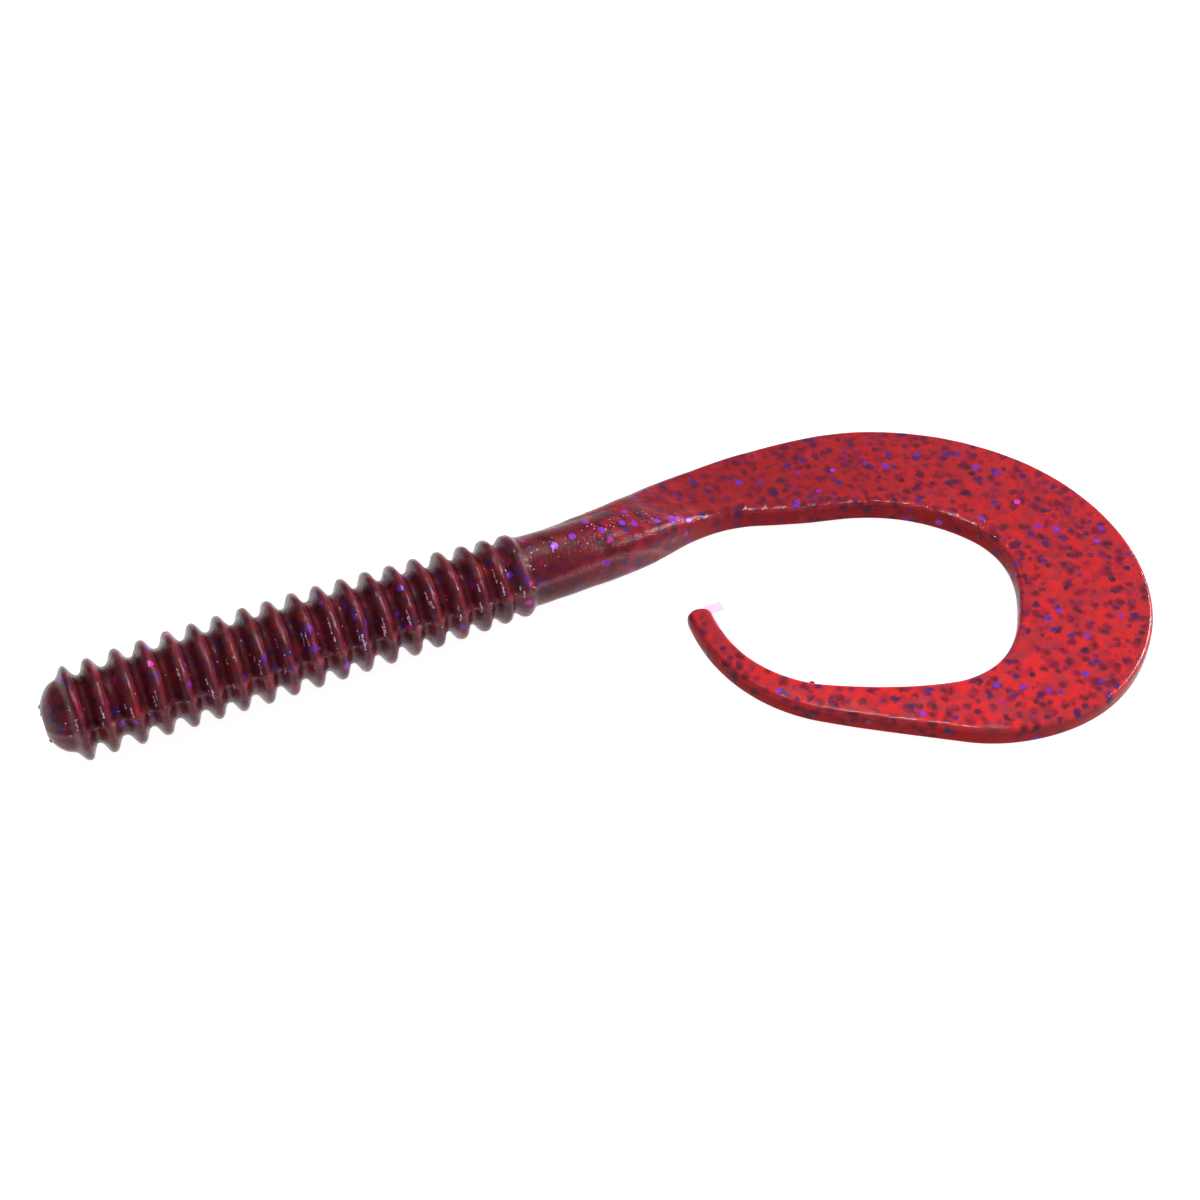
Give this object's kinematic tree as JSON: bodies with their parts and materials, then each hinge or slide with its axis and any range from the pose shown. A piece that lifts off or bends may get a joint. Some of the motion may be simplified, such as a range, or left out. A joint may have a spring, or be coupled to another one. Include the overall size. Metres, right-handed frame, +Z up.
{
  "type": "soft plastic curl-tail fishing worm",
  "caption": "Translucent soft plastic fishing worm: blunt nose, ringed body, smooth waist and a flat curled ribbon tail, with glitter flakes set in the plastic.",
  "frame": {"origin": "on the table, under the middle of the worm's footprint", "axes": "+X along the ringed body from nose to tail, +Z up from the table, +Y to the side that the curled tail swings away from"},
  "size_m": [0.1016, 0.0416, 0.0089],
  "materials": {
    "body_plastic": "soft, glossy, dark translucent maroon",
    "waist_plastic": "soft, glossy, translucent maroon-red",
    "tail_plastic": "soft, glossy, translucent red",
    "black_flake": "black glitter flakes set in the plastic",
    "purple_flake": "purple and blue glitter flakes",
    "pink_flake": "magenta and pink glitter flakes"
  },
  "bodies": {
    "head": {"nose": "body_plastic", "ring_01": "body_plastic"},
    "ring_02": {"ring_02": "body_plastic"},
    "ring_03": {"ring_03": "body_plastic"},
    "ring_04": {"ring_04": "body_plastic"},
    "ring_05": {"ring_05": "body_plastic"},
    "ring_06": {"ring_06": "body_plastic"},
    "ring_07": {"ring_07": "body_plastic"},
    "ring_08": {"ring_08": "body_plastic"},
    "ring_09": {"ring_09": "body_plastic"},
    "ring_10": {"ring_10": "body_plastic"},
    "ring_11": {"ring_11": "body_plastic"},
    "ring_12": {"ring_12": "body_plastic"},
    "ring_13": {"ring_13": "body_plastic"},
    "ring_14": {"ring_14": "body_plastic"},
    "ring_15": {"ring_15": "body_plastic"},
    "ring_16": {"ring_16": "body_plastic"},
    "ring_17": {"ring_17": "body_plastic"},
    "ring_18": {"ring_18": "body_plastic"},
    "ring_19": {"ring_19": "body_plastic"},
    "waist_01": {"waist_01": "waist_plastic"},
    "waist_02": {"waist_02": "waist_plastic"},
    "waist_03": {"waist_03": "waist_plastic"},
    "tail_01": {"tail_01": "tail_plastic"},
    "tail_02": {"tail_02": "tail_plastic"},
    "tail_03": {"tail_03": "tail_plastic"},
    "tail_04": {"tail_04": "tail_plastic"},
    "tail_05": {"tail_05": "tail_plastic"},
    "tail_06": {"tail_06": "tail_plastic"},
    "tail_07": {"tail_07": "tail_plastic"},
    "tail_08": {"tail_08": "tail_plastic"},
    "tail_09": {"tail_09": "tail_plastic"},
    "tail_10": {"tail_10": "tail_plastic"},
    "tail_11": {"tail_11": "tail_plastic"},
    "tail_12": {"tail_12": "tail_plastic"},
    "tail_13": {"tail_13": "tail_plastic"},
    "tail_14": {"tail_14": "tail_plastic"},
    "tail_15": {"tail_15": "tail_plastic"},
    "tail_16": {"tail_16": "tail_plastic"},
    "tail_tip": {"tail_tip": "tail_plastic"}
  },
  "joints": [
    {"name": "arch_22", "type": "hinge", "parent": "tail_01", "child": "waist_03", "pos_m": [0.01054, 0.01574, 0.00209], "axis": [-0.328, 0.9447, 0], "range_deg": [0, 6], "stiffness_Nm_per_rad": 0.0014},
    {"name": "side_bend_21", "type": "hinge", "parent": "waist_03", "child": "waist_02", "pos_m": [0.00537, 0.01387, 0.0034], "axis": [0.0003, 0.0002, 1], "range_deg": [-6, 6], "stiffness_Nm_per_rad": 0.0014},
    {"name": "arch_20", "type": "hinge", "parent": "waist_02", "child": "waist_01", "pos_m": [0.00047, 0.01289, 0.00423], "axis": [-0.1201, 0.9928, 0], "range_deg": [0, 6], "stiffness_Nm_per_rad": 0.0014},
    {"name": "side_bend_19", "type": "hinge", "parent": "waist_01", "child": "ring_19", "pos_m": [-0.00452, 0.01266, 0.00446], "axis": [0.0003, 0.0002, 1], "range_deg": [-6, 6], "stiffness_Nm_per_rad": 0.0014},
    {"name": "arch_18", "type": "hinge", "parent": "ring_19", "child": "ring_18", "pos_m": [-0.00686, 0.01266, 0.00447], "axis": [0.0003, 1, 0.0002], "range_deg": [0, 6], "stiffness_Nm_per_rad": 0.0014},
    {"name": "side_bend_17", "type": "hinge", "parent": "ring_18", "child": "ring_17", "pos_m": [-0.0092, 0.01266, 0.00447], "axis": [0.0003, 0.0002, 1], "range_deg": [-6, 6], "stiffness_Nm_per_rad": 0.0014},
    {"name": "arch_16", "type": "hinge", "parent": "ring_17", "child": "ring_16", "pos_m": [-0.01154, 0.01266, 0.00447], "axis": [0.0003, 1, 0.0002], "range_deg": [0, 6], "stiffness_Nm_per_rad": 0.0014},
    {"name": "side_bend_15", "type": "hinge", "parent": "ring_16", "child": "ring_15", "pos_m": [-0.01388, 0.01266, 0.00447], "axis": [0.0003, 0.0002, 1], "range_deg": [-6, 6], "stiffness_Nm_per_rad": 0.0014},
    {"name": "arch_14", "type": "hinge", "parent": "ring_15", "child": "ring_14", "pos_m": [-0.01622, 0.01266, 0.00447], "axis": [0.0003, 1, 0.0002], "range_deg": [0, 6], "stiffness_Nm_per_rad": 0.0014},
    {"name": "side_bend_13", "type": "hinge", "parent": "ring_14", "child": "ring_13", "pos_m": [-0.01856, 0.01266, 0.00447], "axis": [0.0003, 0.0002, 1], "range_deg": [-6, 6], "stiffness_Nm_per_rad": 0.0014},
    {"name": "arch_12", "type": "hinge", "parent": "ring_13", "child": "ring_12", "pos_m": [-0.0209, 0.01266, 0.00447], "axis": [0.0003, 1, 0.0002], "range_deg": [0, 6], "stiffness_Nm_per_rad": 0.0014},
    {"name": "side_bend_11", "type": "hinge", "parent": "ring_12", "child": "ring_11", "pos_m": [-0.02324, 0.01266, 0.00447], "axis": [0.0003, 0.0002, 1], "range_deg": [-6, 6], "stiffness_Nm_per_rad": 0.0014},
    {"name": "arch_10", "type": "hinge", "parent": "ring_11", "child": "ring_10", "pos_m": [-0.02558, 0.01266, 0.00447], "axis": [0.0003, 1, 0.0002], "range_deg": [0, 6], "stiffness_Nm_per_rad": 0.0014},
    {"name": "side_bend_09", "type": "hinge", "parent": "ring_10", "child": "ring_09", "pos_m": [-0.02792, 0.01266, 0.00447], "axis": [0.0003, 0.0002, 1], "range_deg": [-6, 6], "stiffness_Nm_per_rad": 0.0014},
    {"name": "arch_08", "type": "hinge", "parent": "ring_09", "child": "ring_08", "pos_m": [-0.03026, 0.01266, 0.00447], "axis": [0.0003, 1, 0.0002], "range_deg": [0, 6], "stiffness_Nm_per_rad": 0.0014},
    {"name": "side_bend_07", "type": "hinge", "parent": "ring_08", "child": "ring_07", "pos_m": [-0.0326, 0.01266, 0.00447], "axis": [0.0003, 0.0002, 1], "range_deg": [-6, 6], "stiffness_Nm_per_rad": 0.0014},
    {"name": "arch_06", "type": "hinge", "parent": "ring_07", "child": "ring_06", "pos_m": [-0.03494, 0.01266, 0.00447], "axis": [0.0003, 1, 0.0002], "range_deg": [0, 6], "stiffness_Nm_per_rad": 0.0014},
    {"name": "side_bend_05", "type": "hinge", "parent": "ring_06", "child": "ring_05", "pos_m": [-0.03728, 0.01266, 0.00447], "axis": [0.0003, 0.0002, 1], "range_deg": [-6, 6], "stiffness_Nm_per_rad": 0.0014},
    {"name": "arch_04", "type": "hinge", "parent": "ring_05", "child": "ring_04", "pos_m": [-0.03962, 0.01266, 0.00447], "axis": [0.0003, 1, 0.0002], "range_deg": [0, 6], "stiffness_Nm_per_rad": 0.0014},
    {"name": "side_bend_03", "type": "hinge", "parent": "ring_04", "child": "ring_03", "pos_m": [-0.04196, 0.01266, 0.00447], "axis": [0.0003, 0.0002, 1], "range_deg": [-6, 6], "stiffness_Nm_per_rad": 0.0014},
    {"name": "arch_02", "type": "hinge", "parent": "ring_03", "child": "ring_02", "pos_m": [-0.0443, 0.01266, 0.00447], "axis": [0.0003, 1, 0.0002], "range_deg": [0, 6], "stiffness_Nm_per_rad": 0.0014},
    {"name": "side_bend_01", "type": "hinge", "parent": "ring_02", "child": "head", "pos_m": [-0.04664, 0.01266, 0.00447], "axis": [0.0003, 0.0002, 1], "range_deg": [-6, 6], "stiffness_Nm_per_rad": 0.0014},
    {"name": "tail_uncurl_01", "type": "hinge", "parent": "tail_01", "child": "tail_02", "pos_m": [0.01614, 0.02051, 0.00121], "axis": [0.0003, 0.0002, 1], "range_deg": [0, 9], "stiffness_Nm_per_rad": 0.0008},
    {"name": "tail_flap_01", "type": "hinge", "parent": "tail_02", "child": "tail_03", "pos_m": [0.02221, 0.01636, 0.0011], "axis": [-0.1736, -0.9848, 0], "range_deg": [0, 10], "stiffness_Nm_per_rad": 0.00003},
    {"name": "tail_uncurl_02", "type": "hinge", "parent": "tail_03", "child": "tail_04", "pos_m": [0.02893, 0.02023, 0.0011], "axis": [0.0003, 0.0002, 1], "range_deg": [0, 9], "stiffness_Nm_per_rad": 0.0008},
    {"name": "tail_flap_02", "type": "hinge", "parent": "tail_04", "child": "tail_05", "pos_m": [0.03365, 0.01351, 0.0011], "axis": [-0.4322, -0.9018, 0], "range_deg": [0, 10], "stiffness_Nm_per_rad": 0.00003},
    {"name": "tail_uncurl_03", "type": "hinge", "parent": "tail_05", "child": "tail_06", "pos_m": [0.04205, 0.01429, 0.0011], "axis": [0.0003, 0.0002, 1], "range_deg": [0, 9], "stiffness_Nm_per_rad": 0.0008},
    {"name": "tail_flap_03", "type": "hinge", "parent": "tail_06", "child": "tail_07", "pos_m": [0.04249, 0.00586, 0.0011], "axis": [-0.8345, -0.551, 0], "range_deg": [0, 10], "stiffness_Nm_per_rad": 0.00003},
    {"name": "tail_uncurl_04", "type": "hinge", "parent": "tail_07", "child": "tail_08", "pos_m": [0.05025, 0.00145, 0.00111], "axis": [0.0003, 0.0002, 1], "range_deg": [0, 9], "stiffness_Nm_per_rad": 0.0008},
    {"name": "tail_flap_04", "type": "hinge", "parent": "tail_08", "child": "tail_09", "pos_m": [0.04462, -0.00547, 0.00111], "axis": [-0.9775, 0.2109, 0], "range_deg": [0, 10], "stiffness_Nm_per_rad": 0.00003},
    {"name": "tail_uncurl_05", "type": "hinge", "parent": "tail_09", "child": "tail_10", "pos_m": [0.04732, -0.01439, 0.00112], "axis": [0.0003, 0.0002, 1], "range_deg": [0, 9], "stiffness_Nm_per_rad": 0.0008},
    {"name": "tail_flap_05", "type": "hinge", "parent": "tail_10", "child": "tail_11", "pos_m": [0.03798, -0.01487, 0.00112], "axis": [-0.5047, 0.8633, 0], "range_deg": [0, 10], "stiffness_Nm_per_rad": 0.00003},
    {"name": "tail_uncurl_06", "type": "hinge", "parent": "tail_11", "child": "tail_12", "pos_m": [0.03269, -0.02072, 0.00111], "axis": [0.0003, 0.0002, 1], "range_deg": [0, 9], "stiffness_Nm_per_rad": 0.0008},
    {"name": "tail_flap_06", "type": "hinge", "parent": "tail_12", "child": "tail_13", "pos_m": [0.02658, -0.01573, 0.00111], "axis": [0.3683, 0.9297, 0], "range_deg": [0, 10], "stiffness_Nm_per_rad": 0.00003},
    {"name": "tail_uncurl_07", "type": "hinge", "parent": "tail_13", "child": "tail_14", "pos_m": [0.02026, -0.01513, 0.00109], "axis": [0.0003, 0.0002, 1], "range_deg": [0, 9], "stiffness_Nm_per_rad": 0.0008},
    {"name": "tail_flap_07", "type": "hinge", "parent": "tail_14", "child": "tail_15", "pos_m": [0.01601, -0.01043, 0.00106], "axis": [0.521, 0.8536, 0], "range_deg": [0, 10], "stiffness_Nm_per_rad": 0.00003},
    {"name": "tail_uncurl_08", "type": "hinge", "parent": "tail_15", "child": "tail_16", "pos_m": [0.01053, -0.00732, 0.00101], "axis": [0.0003, 0.0002, 1], "range_deg": [0, 9], "stiffness_Nm_per_rad": 0.0008},
    {"name": "tail_flap_08", "type": "hinge", "parent": "tail_16", "child": "tail_tip", "pos_m": [0.00928, -0.00115, 0.00095], "axis": [0.982, 0.1891, 0], "range_deg": [0, 10], "stiffness_Nm_per_rad": 0.00003}
  ],
  "couplings": [
    {"joint": "arch_20", "follows": "arch_22", "ratio": 1},
    {"joint": "side_bend_19", "follows": "side_bend_21", "ratio": 1},
    {"joint": "arch_18", "follows": "arch_22", "ratio": 1},
    {"joint": "side_bend_17", "follows": "side_bend_21", "ratio": 1},
    {"joint": "arch_16", "follows": "arch_22", "ratio": 1},
    {"joint": "side_bend_15", "follows": "side_bend_21", "ratio": 1},
    {"joint": "arch_14", "follows": "arch_22", "ratio": 1},
    {"joint": "side_bend_13", "follows": "side_bend_21", "ratio": 1},
    {"joint": "arch_12", "follows": "arch_22", "ratio": 1},
    {"joint": "side_bend_11", "follows": "side_bend_21", "ratio": 1},
    {"joint": "arch_10", "follows": "arch_22", "ratio": 1},
    {"joint": "side_bend_09", "follows": "side_bend_21", "ratio": 1},
    {"joint": "arch_08", "follows": "arch_22", "ratio": 1},
    {"joint": "side_bend_07", "follows": "side_bend_21", "ratio": 1},
    {"joint": "arch_06", "follows": "arch_22", "ratio": 1},
    {"joint": "side_bend_05", "follows": "side_bend_21", "ratio": 1},
    {"joint": "arch_04", "follows": "arch_22", "ratio": 1},
    {"joint": "side_bend_03", "follows": "side_bend_21", "ratio": 1},
    {"joint": "arch_02", "follows": "arch_22", "ratio": 1},
    {"joint": "side_bend_01", "follows": "side_bend_21", "ratio": 1},
    {"joint": "tail_uncurl_02", "follows": "tail_uncurl_01", "ratio": 1},
    {"joint": "tail_flap_02", "follows": "tail_flap_01", "ratio": 1},
    {"joint": "tail_uncurl_03", "follows": "tail_uncurl_01", "ratio": 1},
    {"joint": "tail_flap_03", "follows": "tail_flap_01", "ratio": 1},
    {"joint": "tail_uncurl_04", "follows": "tail_uncurl_01", "ratio": 1},
    {"joint": "tail_flap_04", "follows": "tail_flap_01", "ratio": 1},
    {"joint": "tail_uncurl_05", "follows": "tail_uncurl_01", "ratio": 1},
    {"joint": "tail_flap_05", "follows": "tail_flap_01", "ratio": 1},
    {"joint": "tail_uncurl_06", "follows": "tail_uncurl_01", "ratio": 1},
    {"joint": "tail_flap_06", "follows": "tail_flap_01", "ratio": 1},
    {"joint": "tail_uncurl_07", "follows": "tail_uncurl_01", "ratio": 1},
    {"joint": "tail_flap_07", "follows": "tail_flap_01", "ratio": 1},
    {"joint": "tail_uncurl_08", "follows": "tail_uncurl_01", "ratio": 1},
    {"joint": "tail_flap_08", "follows": "tail_flap_01", "ratio": 1}
  ]
}
